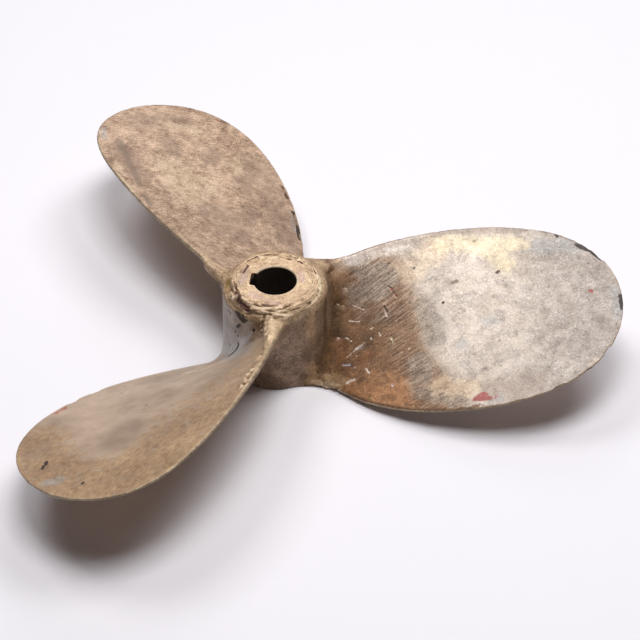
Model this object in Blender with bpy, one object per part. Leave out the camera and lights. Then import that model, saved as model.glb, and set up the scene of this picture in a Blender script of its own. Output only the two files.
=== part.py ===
"""Three-blade bronze boat propeller: one casting, with a turned hub, a tapered bore and a keyway.

The shaft runs along Z and the aft end is up. Seen from aft the propeller turns clockwise. Blade one
points along +X, and the keyway is opposite it. The origin is on the shaft's axis, at the centre of mass.
"""
import bpy
import bmesh
from math import atan2, cos, pi, radians, sin, sqrt
from mathutils import Matrix, Vector

MM = 0.001

# Driving dimensions of the hub, with heights measured from the propeller's own plane
TIP_RADIUS = 203 * MM
HUB_AFT_HEIGHT = 32.5 * MM
HUB_FORWARD_HEIGHT = -25.5 * MM
AFT_FACE_RADIUS = 25 * MM
SHOULDER_RADIUS = 31 * MM
SHOULDER_DROP = 4.5 * MM
BARREL_RADIUS = 32.5 * MM
FOOT_CORNER = 2 * MM
HUB_STEPS = 72
CORNER_STEPS = 5

# The shaft's seat: the bore widens towards the forward end by one part in sixteen
BORE_AFT_RADIUS = 12.6 * MM
BORE_TAPER = 1 / 16
KEYWAY_WIDTH = 11 * MM
KEYWAY_REACH = 14.8 * MM
CUT_PAST = 4 * MM

# The blade's laws: control values of Bezier curves, from the hub's wall to the tip
ROOT_RADIUS = 31 * MM
WIDTH_LAW = (62 * MM, 137 * MM, 125 * MM, 198 * MM)
SKEW_LAW = (3 * MM, -9 * MM, -3 * MM, 3 * MM)
PITCH_LAW = (220 * MM, 408 * MM, 277 * MM)
RAKE_LAW = (-1 * MM, 19 * MM, 24.5 * MM)
THICKNESS_LAW = (11 * MM, 6 * MM, 2.4 * MM)
EDGE_LAW = (4 * MM, 1.8 * MM, 1.3 * MM)
TIP_ROUNDING = 2.85
TIP_WIDTH = 5 * MM

# The cast fillets where a blade grows out of the hub: over its faces, and level round its two edges,
# where each blade was dressed by hand to a radius of its own
FACE_FILLET = 9 * MM
FILLET_AT_EDGES = 0.3
EDGE_FILLETS = (23 * MM, 11 * MM, 12 * MM)
EDGE_FILLET_SHARE = 0.6
EDGE_FILLET_RISE = 0.2
ROOT_DEPTH = 8 * MM

ROOT_STATIONS = 8
OUTER_STATIONS = 15
CHORD_STEPS = 10
NOSE_STEPS = 4

# The centre of mass is this far above the propeller's plane
CENTRE_HEIGHT = 7.4 * MM


def bezier(values, t):
    """The value at t, from 0 to 1, of the Bezier curve with these control values."""
    while len(values) > 1:
        values = [low + (high - low) * t for low, high in zip(values, values[1:])]
    return values[0]


def fillet(distance, radius):
    """Height of a quarter-round fillet at this distance from the wall that it rises to."""
    inside = min(max(radius - distance, 0.0), radius)
    return radius - sqrt(radius * radius - inside * inside)


def span(radius):
    """How far out along the blade a radius lies, from 0 at the hub's wall to 1 at the tip."""
    return max(0.0, (radius - ROOT_RADIUS) / (TIP_RADIUS - ROOT_RADIUS))


def blade_width(radius):
    """The blade's width along its helix. Inside the hub it shrinks, so that nothing breaks out."""
    t = span(radius)
    inside = min(1.0, radius / ROOT_RADIUS) ** 2
    return inside * max(TIP_WIDTH, bezier(WIDTH_LAW, t) * sqrt(max(0.0, 1 - t ** TIP_ROUNDING)))


def section_outline(radius):
    """The blade's section as (along, out) points: the face forwards, then the back, with round edges."""
    t = span(radius)
    edge = bezier(EDGE_LAW, t)
    belly = bezier(THICKNESS_LAW, t) - edge
    root_fillet = fillet(max(0.0, radius - ROOT_RADIUS), FACE_FILLET)
    half_flat = blade_width(radius) / 2 - edge / 2

    def height(u, bulge):
        middle = 1 - u ** 4
        swell = root_fillet * (FILLET_AT_EDGES + (1 - FILLET_AT_EDGES) * middle)
        return edge / 2 + swell + bulge * (1 - u * u)

    def nose(side):
        top = height(1, 0)
        turns = [pi * step / NOSE_STEPS for step in range(NOSE_STEPS + 1)]
        return [(side * (half_flat + edge / 2 * sin(turn)), side * top * cos(turn)) for turn in turns]

    inner = [-cos(pi * step / CHORD_STEPS) for step in range(1, CHORD_STEPS)]
    face = [(half_flat * u, height(u, 0)) for u in inner]
    back = [(-half_flat * u, -height(u, belly)) for u in inner]
    return face + nose(1) + back + nose(-1)


def edge_flare(radius, edge_fillet):
    """How far the fillet carries an edge round the hub. It ends blunt at the wall, and fades inside."""
    flare = fillet(max(0.0, radius - ROOT_RADIUS), edge_fillet)
    return min(flare, EDGE_FILLET_SHARE * edge_fillet) * min(1.0, radius / ROOT_RADIUS) ** 8


def section_ring(radius, edge_fillet):
    """The section's outline wrapped on the cylinder of this radius, along the blade's own helix."""
    t = span(radius)
    slope = atan2(bezier(PITCH_LAW, t), 2 * pi * radius)
    flare = edge_flare(radius, edge_fillet)
    ring = []
    for along, out in section_outline(radius):
        level = flare * (2 * along / blade_width(radius)) ** 5
        along += bezier(SKEW_LAW, t)
        turn = (along * cos(slope) - out * sin(slope) + level) / radius
        height = bezier(RAKE_LAW, t) + along * sin(slope) + out * cos(slope) + EDGE_FILLET_RISE * level
        ring.append(Vector((radius * cos(turn), radius * sin(turn), height)))
    return ring


def blade_rings(edge_fillet):
    """Rings from inside the hub's wall to the tip, closer together at both ends."""
    start = ROOT_RADIUS - ROOT_DEPTH
    fillet_end = ROOT_RADIUS + FACE_FILLET
    inner = [start + (fillet_end - start) * step / ROOT_STATIONS for step in range(ROOT_STATIONS)]
    outer = [fillet_end + (TIP_RADIUS - fillet_end) * sin(pi / 2 * step / OUTER_STATIONS)
             for step in range(OUTER_STATIONS + 1)]
    return [section_ring(radius, edge_fillet) for radius in inner + outer]


def circle(radius, height):
    turns = [2 * pi * step / HUB_STEPS for step in range(HUB_STEPS)]
    return [Vector((radius * cos(turn), radius * sin(turn), height)) for turn in turns]


def hub_rings():
    """Rings of the turned hub from its forward face, round the foot corner, to the aft shoulder."""
    quarter = [pi / 2 * step / CORNER_STEPS for step in range(CORNER_STEPS + 1)]
    corner = [(BARREL_RADIUS - FOOT_CORNER + FOOT_CORNER * sin(turn),
               HUB_FORWARD_HEIGHT + FOOT_CORNER * (1 - cos(turn))) for turn in quarter]
    shoulder_width = SHOULDER_RADIUS - AFT_FACE_RADIUS
    shoulder = [(AFT_FACE_RADIUS + shoulder_width * cos(turn),
                 HUB_AFT_HEIGHT - SHOULDER_DROP * (1 - sin(turn))) for turn in quarter]
    return [circle(radius, height) for radius, height in corner + shoulder]


def bore_rings():
    """Rings of the tapered bore, run past both faces of the hub."""
    top = HUB_AFT_HEIGHT + CUT_PAST
    bottom = HUB_FORWARD_HEIGHT - CUT_PAST
    aft_radius = BORE_AFT_RADIUS - BORE_TAPER / 2 * CUT_PAST
    forward_radius = aft_radius + BORE_TAPER / 2 * (top - bottom)
    return [circle(forward_radius, bottom), circle(aft_radius, top)]


def keyway_rings():
    """Rings of the keyway, whose floor keeps its depth from the bore's tapered wall."""
    half = KEYWAY_WIDTH / 2
    rings = []
    for height in (HUB_FORWARD_HEIGHT - CUT_PAST, HUB_AFT_HEIGHT + CUT_PAST):
        floor = -KEYWAY_REACH - BORE_TAPER / 2 * (HUB_AFT_HEIGHT - height)
        corners = ((floor, -half), (0, -half), (0, half), (floor, half))
        rings.append([Vector((x, y, height)) for x, y in corners])
    return rings


def facing_rings():
    """A disc below the forward face, which the lathe takes off with what the fillets left there."""
    cut_depth = 40 * MM
    return [circle(2 * BARREL_RADIUS, HUB_FORWARD_HEIGHT - cut_depth),
            circle(2 * BARREL_RADIUS, HUB_FORWARD_HEIGHT)]


def closed_body(name, rings, turn=0.0):
    """An object made of rings of points, bridged in order and capped at both ends."""
    body = bmesh.new()
    loops = [[body.verts.new(point) for point in ring] for ring in rings]
    for near, far in zip(loops, loops[1:]):
        for index in range(len(near)):
            after = (index + 1) % len(near)
            body.faces.new((near[index], near[after], far[after], far[index]))
    body.faces.new(list(reversed(loops[0])))
    body.faces.new(loops[-1])
    bmesh.ops.recalc_face_normals(body, faces=body.faces)
    bmesh.ops.triangulate(body, faces=body.faces)
    bmesh.ops.translate(body, verts=body.verts, vec=(0, 0, -CENTRE_HEIGHT))
    bmesh.ops.rotate(body, verts=body.verts, matrix=Matrix.Rotation(turn, 3, "Z"))
    mesh = bpy.data.meshes.new(name)
    body.to_mesh(mesh)
    body.free()
    mesh.shade_smooth()
    mesh.set_sharp_from_angle(angle=radians(35))
    made = bpy.data.objects.new(name, mesh)
    bpy.context.collection.objects.link(made)
    return made


def bronze():
    """Weathered cast manganese bronze: a warm tan brown that is dull but still metal."""
    material = bpy.data.materials.new("cast_manganese_bronze")
    material.use_nodes = True
    shader = material.node_tree.nodes["Principled BSDF"]
    shader.inputs["Base Color"].default_value = (0.33, 0.23, 0.14, 1)
    shader.inputs["Metallic"].default_value = 1.0
    shader.inputs["Roughness"].default_value = 0.45
    return material


def combine(casting, operation, other):
    """Join another body to the casting, or cut it away, and leave the other body as a guide."""
    other.hide_render = True
    other.display_type = "WIRE"
    step = casting.modifiers.new(other.name, "BOOLEAN")
    step.operation = operation
    step.solver = "EXACT"
    step.object = other


def make_propeller():
    casting = closed_body("propeller_casting", hub_rings())
    casting.data.materials.append(bronze())
    for number, edge_fillet in enumerate(EDGE_FILLETS):
        turn = 2 * pi * number / len(EDGE_FILLETS)
        combine(casting, "UNION", closed_body(f"blade_{number + 1}", blade_rings(edge_fillet), turn))
    combine(casting, "DIFFERENCE", closed_body("forward_facing", facing_rings()))
    combine(casting, "DIFFERENCE", closed_body("tapered_bore", bore_rings()))
    combine(casting, "DIFFERENCE", closed_body("keyway", keyway_rings()))


for leftover in list(bpy.data.objects):
    bpy.data.objects.remove(leftover)
make_propeller()
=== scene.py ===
# %% [markdown]
# # A boat propeller in cast bronze
#
# The part is one casting: a short turned hub with a tapered bore and a keyway, and three broad blades.
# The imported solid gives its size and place. Here it gets the fine surface of a used propeller: cast
# fillets, nicked edges, pits, grinding scratches, oxide, scale and a few remains of paint.

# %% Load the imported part
from collections import namedtuple
from contextlib import contextmanager
from math import cos, pi, radians, sin

import bmesh
import bpy
import numpy as np
from mathutils import Matrix, Vector, noise
from mathutils.kdtree import KDTree


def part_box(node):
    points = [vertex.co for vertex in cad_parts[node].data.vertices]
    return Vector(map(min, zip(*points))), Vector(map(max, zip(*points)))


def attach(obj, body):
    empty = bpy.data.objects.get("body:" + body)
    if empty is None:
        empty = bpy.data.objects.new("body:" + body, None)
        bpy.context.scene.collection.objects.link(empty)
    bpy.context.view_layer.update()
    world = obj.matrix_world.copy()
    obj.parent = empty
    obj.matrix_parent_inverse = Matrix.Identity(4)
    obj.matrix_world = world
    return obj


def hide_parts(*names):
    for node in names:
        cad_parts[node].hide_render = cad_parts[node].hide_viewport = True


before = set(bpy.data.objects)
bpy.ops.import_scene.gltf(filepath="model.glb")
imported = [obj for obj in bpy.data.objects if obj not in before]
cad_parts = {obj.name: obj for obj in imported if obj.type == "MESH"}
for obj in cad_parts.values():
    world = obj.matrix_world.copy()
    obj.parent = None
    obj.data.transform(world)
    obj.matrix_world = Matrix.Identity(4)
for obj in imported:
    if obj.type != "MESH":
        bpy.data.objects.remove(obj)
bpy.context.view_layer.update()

MM = 0.001
SEED = 16
CASTING = "propeller_casting"
lowest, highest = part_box(CASTING)
print("the casting spans", [round(side / MM) for side in highest - lowest], "mm")

# %% [markdown]
# ## The camera
#
# The photograph looks down on the propeller from about 41 degrees, with a long lens from 1.3 metres.
# A camera can be placed by hand or tracked to a target. Here three angles, a distance and a small
# sideways step are turned into its axes, because those are what a photographer would write down.

# %% Camera
VIEW_AZIMUTH = radians(6.613)
VIEW_ELEVATION = radians(41.451)
VIEW_ROLL = radians(-0.75)
VIEW_DISTANCE = 1313.4 * MM
VIEW_STEP = (25.95 * MM, 1.14 * MM)
LENS = 124.25
PLANE_HEIGHT = -7.4 * MM


def placed(name, data):
    """An object that holds this data, linked to the scene."""
    made = bpy.data.objects.new(name, data)
    bpy.context.scene.collection.objects.link(made)
    return made


def make_camera():
    """A camera that looks at the propeller's own plane, stepped sideways so that all three blades fit."""
    level = cos(VIEW_ELEVATION)
    away = Vector((sin(VIEW_AZIMUTH) * level, -cos(VIEW_AZIMUTH) * level, sin(VIEW_ELEVATION)))
    right = Vector((cos(VIEW_AZIMUTH), sin(VIEW_AZIMUTH), 0))
    axes = Matrix((right, away.cross(right), away)).transposed()
    axes = axes @ Matrix.Rotation(VIEW_ROLL, 3, "Z")
    place = axes @ Vector((*VIEW_STEP, 0)) + away * VIEW_DISTANCE + Vector((0, 0, PLANE_HEIGHT))
    data = bpy.data.cameras.new("studio_camera")
    data.lens = LENS
    camera = placed(data.name, data)
    camera.matrix_world = Matrix.Translation(place) @ axes.to_4x4()
    bpy.context.scene.camera = camera
    return camera


camera = make_camera()
print("camera at", [round(value, 3) for value in camera.location])

# %% [markdown]
# ## Helpers
#
# Every node tree below is written with one function, which adds a node, sets its options and fills its
# sockets. Most nodes only do arithmetic, and for those the operation's name is enough. Colours are
# written as the sRGB hex values that a colour picker gives. Blender computes in linear light, so one
# function turns them.


# %% Helpers for nodes and colours
VECTORS = "ShaderNodeVectorMath"
MIX = "ShaderNodeMix"
RANGE = "ShaderNodeMapRange"
NOISE = "ShaderNodeTexNoise"


def add(tree, kind, *values, **settings):
    """Adds a node, sets its options and fills its sockets, in order or by name from a dict.

    A kind in capitals is an operation of the Math node. A value is a plain one, another node, whose
    first output is used, or one output.
    """
    if kind.isupper():
        kind, settings = "ShaderNodeMath", {"operation": kind}
    node = tree.nodes.new(kind)
    for option, value in settings.items():
        setattr(node, option, value)
    sockets = [socket for socket in node.inputs if socket.enabled]
    if values and isinstance(values[0], dict):
        names = [socket.name for socket in sockets]
        sockets = [sockets[names.index(name)] for name in values[0]]
        values = values[0].values()
    for socket, value in zip(sockets, values):
        if isinstance(value, bpy.types.Node):
            value = next(output for output in value.outputs if output.enabled)
        if isinstance(value, bpy.types.NodeSocket):
            tree.links.new(value, socket)
        else:
            socket.default_value = value
    return node


def linear(code):
    """A colour written as six hex digits in sRGB, as the linear RGBA that Blender computes with."""
    parts = [int(code[place:place + 2], 16) / 255 for place in (0, 2, 4)]
    return (*(part / 12.92 if part <= 0.04045 else ((part + 0.055) / 1.055) ** 2.4 for part in parts), 1.0)


print("mid grey is", round(linear("808080")[0], 3), "in linear light")

# %% [markdown]
# ## Table and light
#
# The propeller lies on the flat forward end of its hub, on white paper that curves up behind it. The
# soft shadows under the blades tell where the light came from: mostly from overhead, with a box to each
# side of the back and a weak one low behind. A metal shows what it reflects: the outer half of the
# right blade mirrors the lamps, the other two mirror the paper, and the right blade's root mirrors the
# dim room in front.


# %% Table and light
PAPER_WIDTH = 6.0
PAPER_FRONT = -3.0
PAPER_BACK = 1.3
PAPER_CURVE = 0.5
PAPER_TOP = 1.9
BOX_DISTANCE = 1.6
BOX_SIDE = 0.6
SOFT_BOXES = {"top_box": (300, 82, 13.4), "right_box": (30, 62, 8.4), "left_box": (150, 62, 7.5),
              "back_box": (90, 40, 2.6)}
ROOM_STRENGTH = 0.046


def make_paper():
    """White paper: level with the hub's forward face under the propeller, and curved up behind it."""
    bend = [radians(6 * step) for step in range(16)]
    line = [(PAPER_FRONT, lowest.z)]
    line += [(PAPER_BACK + PAPER_CURVE * sin(turn), lowest.z + PAPER_CURVE * (1 - cos(turn)))
             for turn in bend]
    line += [(PAPER_BACK + PAPER_CURVE, PAPER_TOP)]
    points = [(side * PAPER_WIDTH / 2, y, z) for y, z in line for side in (-1, 1)]
    faces = [(2 * i, 2 * i + 1, 2 * i + 3, 2 * i + 2) for i in range(len(line) - 1)]
    mesh = bpy.data.meshes.new("white_paper")
    mesh.from_pydata(points, [], faces)
    mesh.shade_smooth()
    material = bpy.data.materials.new("matt_white_paper")
    material.use_nodes = True
    shader = material.node_tree.nodes["Principled BSDF"]
    shader.inputs["Base Color"].default_value = linear("F0EDF2")
    shader.inputs["Roughness"].default_value = 0.9
    shader.inputs["Specular IOR Level"].default_value = 0.2
    mesh.materials.append(material)
    return placed(mesh.name, mesh)


def make_soft_box(name, azimuth, elevation, power):
    """A square soft box, in watts, that faces the propeller from this direction in degrees."""
    data = bpy.data.lights.new(name, "AREA")
    data.shape = "SQUARE"
    data.size = BOX_SIDE
    data.energy = power
    azimuth, elevation = radians(azimuth), radians(elevation)
    towards = Vector((cos(azimuth) * cos(elevation), sin(azimuth) * cos(elevation), sin(elevation)))
    light = placed(name, data)
    light.location = towards * BOX_DISTANCE
    light.rotation_euler = towards.to_track_quat("Z", "Y").to_euler()
    light.visible_camera = False


def make_room():
    """Dim even light from all round, as in a studio with its blinds down."""
    world = bpy.data.worlds.new("dim_room")
    world.use_nodes = True
    background = world.node_tree.nodes["Background"]
    background.inputs["Color"].default_value = linear("F4F2F8")
    background.inputs["Strength"].default_value = ROOM_STRENGTH
    bpy.context.scene.world = world


make_paper()
for name, setting in SOFT_BOXES.items():
    make_soft_box(name, *setting)
make_room()
bpy.context.scene.view_settings.view_transform = "Standard"
print("paper at", round(lowest.z / MM, 1), "mm")

# %% [markdown]
# ## The three blades
#
# A propeller designer gives a blade by laws: its width, skew, pitch, rake and thickness at each radius.
# Each law here is a Bezier curve from the hub's wall to the tip. The section at a radius is flat on the
# aft face, domed on the forward one and round at its edges, and it is wrapped on the cylinder of that
# radius along its own helix. A shape that follows a rule suits Geometry Nodes: one flat grid is
# instanced three times, and one Set Position sends every point of it to its place on a blade.

# %% The laws of the blade
BLADE_LAWS = {
    "Tip Radius": 203 * MM,
    "Wall Radius": 31 * MM,
    "Root Depth": 8 * MM,
    "Width Law": (62 * MM, 137 * MM, 125 * MM),
    "Width Law End": 198 * MM,
    "Skew Law": (3 * MM, -9 * MM, -3 * MM),
    "Skew Law End": 3 * MM,
    "Pitch Law": (220 * MM, 408 * MM, 277 * MM),
    "Rake Law": (-1 * MM, 19 * MM, 24.5 * MM),
    "Thickness Law": (11 * MM, 6 * MM, 2.4 * MM),
    "Edge Law": (4 * MM, 1.8 * MM, 1.3 * MM),
    "Tip Rounding": 2.85,
    "Tip Width": 5 * MM,
    "Face Fillet": 9 * MM,
    "Fillet Lost At Edges": 0.7,
    "Edge Fillets": (23 * MM, 11 * MM, 12 * MM),
    "Edge Fillet Share": 0.6,
    "Edge Fillet Rise": 0.2,
    "Plane Height": PLANE_HEIGHT,
    "Stations": 118,
    "Face Columns": 74,
    "Back Columns": 36,
    "Nose Columns": 8,
}
BLADES = 3
STATION_CROWDING = 1.35
NEAR_END = 0.001
MERGE = 0.01 * MM

SOCKET_KINDS = {int: "NodeSocketInt", float: "NodeSocketFloat", tuple: "NodeSocketVector"}


def new_tree(name, inputs):
    """An empty Geometry Nodes tree with a named input for each value, and its two end nodes."""
    tree = bpy.data.node_groups.new(name, "GeometryNodeTree")
    tree.interface.new_socket("Geometry", in_out="INPUT", socket_type="NodeSocketGeometry")
    for label, value in inputs.items():
        kind = SOCKET_KINDS.get(type(value), "NodeSocketMaterial")
        tree.interface.new_socket(label, in_out="INPUT", socket_type=kind)
    tree.interface.new_socket("Geometry", in_out="OUTPUT", socket_type="NodeSocketGeometry")
    return tree, add(tree, "NodeGroupInput").outputs, add(tree, "NodeGroupOutput")


def baked(made):
    """The object with its modifiers applied, as a plain mesh."""
    evaluated = made.evaluated_get(bpy.context.evaluated_depsgraph_get())
    return bpy.data.meshes.new_from_object(evaluated)


def grown(name, tree, inputs, mesh=None):
    """Runs a tree on a mesh, with its inputs set by identifier, and gives the result as a plain object."""
    made = placed(name, mesh or bpy.data.meshes.new(name))
    step = made.modifiers.new(tree.name, "NODES")
    step.node_group = tree
    for item in tree.interface.items_tree:
        if item.in_out == "INPUT" and item.name in inputs:
            step[item.identifier] = inputs[item.name]
    result = baked(made)
    made.modifiers.remove(step)
    made.data = result
    return made


bronze = bpy.data.materials.new("weathered_cast_bronze")
print(len(BLADE_LAWS), "values describe a blade")

# %% [markdown]
# The tree works in three parts. The first reads the laws at a station: a Bezier curve of three control
# values is one dot product of those values with the weights of its control points.


# %% Blade tree: the laws at a station
def quarter_round(tree, distance, radius):
    """The rise of a quarter-round fillet at this distance from the wall that it climbs."""
    short = add(tree, "MAXIMUM", add(tree, "SUBTRACT", radius, distance), 0.0)
    short = add(tree, "MULTIPLY", short, short)
    whole = add(tree, "MULTIPLY", radius, radius)
    root = add(tree, "SQRT", add(tree, "SUBTRACT", whole, short))
    return add(tree, "SUBTRACT", radius, root)


def station_laws(tree, given, station):
    """The radius at a station, how far it is from the wall, and the blade's laws there."""
    wall, tip = given["Wall Radius"], given["Tip Radius"]
    start = add(tree, "SUBTRACT", wall, given["Root Depth"])
    length = add(tree, "SUBTRACT", tip, start)
    crowded = add(tree, "POWER", station, STATION_CROWDING)
    crowded = add(tree, "SINE", add(tree, "MULTIPLY", crowded, pi / 2))
    radius = add(tree, "MULTIPLY_ADD", crowded, length, start)
    t = add(tree, RANGE, radius, wall, tip, 0.0, 1.0)
    past = add(tree, "MAXIMUM", add(tree, "SUBTRACT", radius, wall), 0.0)
    inner = add(tree, "MINIMUM", add(tree, "DIVIDE", radius, wall), 1.0)

    left = add(tree, "SUBTRACT", 1.0, t)
    both = add(tree, "MULTIPLY", add(tree, "MULTIPLY", t, left), 2.0)
    left_squared = add(tree, "MULTIPLY", left, left)
    t_squared = add(tree, "MULTIPLY", t, t)
    t_cubed = add(tree, "MULTIPLY", t_squared, t)
    weights = add(tree, "ShaderNodeCombineXYZ", left_squared, both, t_squared)
    cubic = add(tree, VECTORS, weights, (1.0, 1.5, 3.0), operation="MULTIPLY")
    cubic = add(tree, VECTORS, {"Vector": cubic, "Scale": left}, operation="SCALE")

    laws = {"radius": radius, "past": past, "inner": inner}
    for name in ("Pitch", "Rake", "Thickness", "Edge"):
        law = add(tree, VECTORS, weights, given[f"{name} Law"], operation="DOT_PRODUCT")
        laws[name] = law.outputs["Value"]
    for name in ("Width", "Skew"):
        law = add(tree, VECTORS, cubic, given[f"{name} Law"], operation="DOT_PRODUCT")
        laws[name] = add(tree, "MULTIPLY_ADD", t_cubed, given[f"{name} Law End"], law.outputs["Value"])

    rounding = add(tree, "POWER", t, given["Tip Rounding"])
    rounding = add(tree, "SQRT", add(tree, "SUBTRACT", 1.0, rounding))
    width = add(tree, "MULTIPLY", laws["Width"], rounding)
    width = add(tree, "MAXIMUM", width, given["Tip Width"])
    shrink = add(tree, "MULTIPLY", inner, inner)
    laws["Width"] = add(tree, "MULTIPLY", width, shrink)
    return laws


print("laws are read by dot products")

# %% [markdown]
# The second part draws the section. One parameter runs round its outline: along the aft face, round an
# edge, back along the forward face and round the other edge.


# %% Blade tree: the outline of a section
def section_outline(tree, given, laws, turn):
    """The point at this turn of the outline, from 0 to 1, as distances along the chord and out of it."""
    face, back, rounded = (given[f"{side} Columns"] for side in ("Face", "Back", "Nose"))
    aft = add(tree, "ADD", face, rounded)
    forward = add(tree, "ADD", back, rounded)
    around = add(tree, "ADD", aft, forward)
    column = add(tree, "MULTIPLY", turn, around)
    is_aft = add(tree, "LESS_THAN", column, aft)
    side = add(tree, "MULTIPLY_ADD", is_aft, 2.0, -1.0)
    on_forward = add(tree, "SUBTRACT", 1.0, is_aft)
    column = add(tree, "SUBTRACT", column, add(tree, "MULTIPLY", on_forward, aft))
    flat = add(tree, MIX, is_aft, back, face, data_type="FLOAT")
    last = add(tree, "ADD", flat, rounded)
    across = add(tree, RANGE, column, 0.0, flat, -1.0, 1.0)
    nose = add(tree, RANGE, column, flat, last, 0.0, pi)

    half_edge = add(tree, "MULTIPLY", laws["Edge"], 0.5)
    half_flat = add(tree, "SUBTRACT", add(tree, "MULTIPLY", laws["Width"], 0.5), half_edge)
    square = add(tree, "MULTIPLY", across, across)
    fourth = add(tree, "MULTIPLY", square, square)
    fillet = quarter_round(tree, laws["past"], given["Face Fillet"])
    kept = add(tree, "SUBTRACT", 1.0, add(tree, "MULTIPLY", fourth, given["Fillet Lost At Edges"]))
    belly = add(tree, "MULTIPLY", add(tree, "SUBTRACT", laws["Thickness"], laws["Edge"]), on_forward)
    height = add(tree, "MULTIPLY_ADD", fillet, kept, half_edge)
    height = add(tree, "MULTIPLY_ADD", belly, add(tree, "SUBTRACT", 1.0, square), height)

    along = add(tree, "MULTIPLY", half_flat, across)
    along = add(tree, "MULTIPLY_ADD", half_edge, add(tree, "SINE", nose), along)
    out = add(tree, "MULTIPLY", height, add(tree, "COSINE", nose))
    return [add(tree, "MULTIPLY", part, side) for part in (along, out)]


print("a section has", BLADE_LAWS["Face Columns"] + BLADE_LAWS["Back Columns"], "columns and two noses")

# %% [markdown]
# The third part wraps the section on its cylinder. Where an edge meets the hub, the casting flares
# sideways into it, level round the hub, by a radius that was dressed by hand on each blade.


# %% Blade tree: wrapped on the helix
def wrapped(tree, given, laws, along, out, blade):
    """The section's point wrapped on the cylinder of its radius, along the blade's own helix."""
    reach = add(tree, "GeometryNodeIndexSwitch", data_type="FLOAT")
    sizes = add(tree, "ShaderNodeSeparateXYZ", given["Edge Fillets"])
    reach.index_switch_items.new()
    tree.links.new(blade, reach.inputs[0])
    for index in range(BLADES):
        tree.links.new(sizes.outputs[index], reach.inputs[index + 1])
    flare = quarter_round(tree, laws["past"], reach)
    limit = add(tree, "MULTIPLY", reach, given["Edge Fillet Share"])
    flare = add(tree, "MINIMUM", flare, limit)
    fade = add(tree, "POWER", laws["inner"], 8.0)
    flare = add(tree, "MULTIPLY", flare, fade)
    share = add(tree, "MULTIPLY", add(tree, "DIVIDE", along, laws["Width"]), 2.0)
    square = add(tree, "MULTIPLY", share, share)
    fifth = add(tree, "MULTIPLY", add(tree, "MULTIPLY", square, square), share)
    level = add(tree, "MULTIPLY", flare, fifth)

    round_length = add(tree, "MULTIPLY", laws["radius"], 2 * pi)
    slope = add(tree, "ARCTAN2", laws["Pitch"], round_length)
    slope_cos = add(tree, "COSINE", slope)
    slope_sin = add(tree, "SINE", slope)
    along = add(tree, "ADD", along, laws["Skew"])
    arc = add(tree, "MULTIPLY_ADD", along, slope_cos, level)
    arc = add(tree, "SUBTRACT", arc, add(tree, "MULTIPLY", out, slope_sin))
    height = add(tree, "MULTIPLY_ADD", along, slope_sin, laws["Rake"])
    height = add(tree, "MULTIPLY_ADD", out, slope_cos, height)
    height = add(tree, "MULTIPLY_ADD", level, given["Edge Fillet Rise"], height)
    height = add(tree, "ADD", height, given["Plane Height"])

    angle = add(tree, "DIVIDE", arc, laws["radius"])
    angle = add(tree, "MULTIPLY_ADD", blade, 2 * pi / BLADES, angle)
    x = add(tree, "MULTIPLY", add(tree, "COSINE", angle), laws["radius"])
    y = add(tree, "MULTIPLY", add(tree, "SINE", angle), laws["radius"])
    return add(tree, "ShaderNodeCombineXYZ", x, y, height)


def blade_tree(inputs):
    """Three grids, each bent round a section at every station and closed at its seam and both ends."""
    tree, given, end = new_tree("three_blades", inputs)
    around = add(tree, "ADD", given["Face Columns"], given["Back Columns"])
    around = add(tree, "MULTIPLY_ADD", given["Nose Columns"], 2.0, around)
    around = add(tree, "ADD", around, 1.0)
    grid = add(tree, "GeometryNodeMeshGrid", 1.0, 1.0, around, given["Stations"])
    seats = add(tree, "GeometryNodePoints", {"Count": BLADES})
    grids = add(tree, "GeometryNodeInstanceOnPoints", {"Points": seats, "Instance": grid})
    number = {"Geometry": grids, "Name": "blade", "Value": add(tree, "GeometryNodeInputIndex")}
    grids = add(tree, "GeometryNodeStoreNamedAttribute", number, domain="INSTANCE", data_type="INT")
    grids = add(tree, "GeometryNodeRealizeInstances", {"Geometry": grids})
    blade = add(tree, "GeometryNodeInputNamedAttribute", {"Name": "blade"}, data_type="INT").outputs[0]

    place = add(tree, "ShaderNodeSeparateXYZ", add(tree, "GeometryNodeInputPosition"))
    turn = add(tree, "ADD", place.outputs["X"], 0.5)
    station = add(tree, "ADD", place.outputs["Y"], 0.5)
    laws = station_laws(tree, given, station)
    along, out = section_outline(tree, given, laws, turn)
    past_start = add(tree, "GREATER_THAN", station, NEAR_END)
    before_end = add(tree, "LESS_THAN", station, 1 - NEAR_END)
    is_open = add(tree, "MULTIPLY", past_start, before_end)
    along, out = (add(tree, "MULTIPLY", part, is_open) for part in (along, out))

    point = wrapped(tree, given, laws, along, out, blade)
    blades = add(tree, "GeometryNodeSetPosition", {"Geometry": grids, "Position": point})
    blades = add(tree, "GeometryNodeMergeByDistance", {"Geometry": blades, "Distance": MERGE})
    blades = add(tree, "GeometryNodeRealizeInstances", {"Geometry": blades})
    blades = add(tree, "GeometryNodeSetMaterial", {"Geometry": blades, "Material": given["Metal"]})
    tree.links.new(blades.outputs[0], end.inputs[0])
    return tree


@contextmanager
def edited(mesh):
    """The mesh opened for editing, and written back at the end."""
    body = bmesh.new()
    body.from_mesh(mesh)
    yield body
    body.to_mesh(mesh)
    body.free()


def measure(name, mesh):
    """Prints how many triangles a mesh has, and whether it is closed: whether every edge has two faces."""
    mesh.calc_loop_triangles()
    body = bmesh.new()
    body.from_mesh(mesh)
    closed = all(edge.is_manifold for edge in body.edges)
    body.free()
    print(f"{name}: {len(mesh.loop_triangles)} triangles, closed: {closed}")


blade_inputs = {**BLADE_LAWS, "Metal": bronze}
blades = grown("blades", blade_tree(blade_inputs), blade_inputs)
with edited(blades.data) as body:
    bmesh.ops.recalc_face_normals(body, faces=body.faces)
measure("blades", blades.data)

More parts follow.
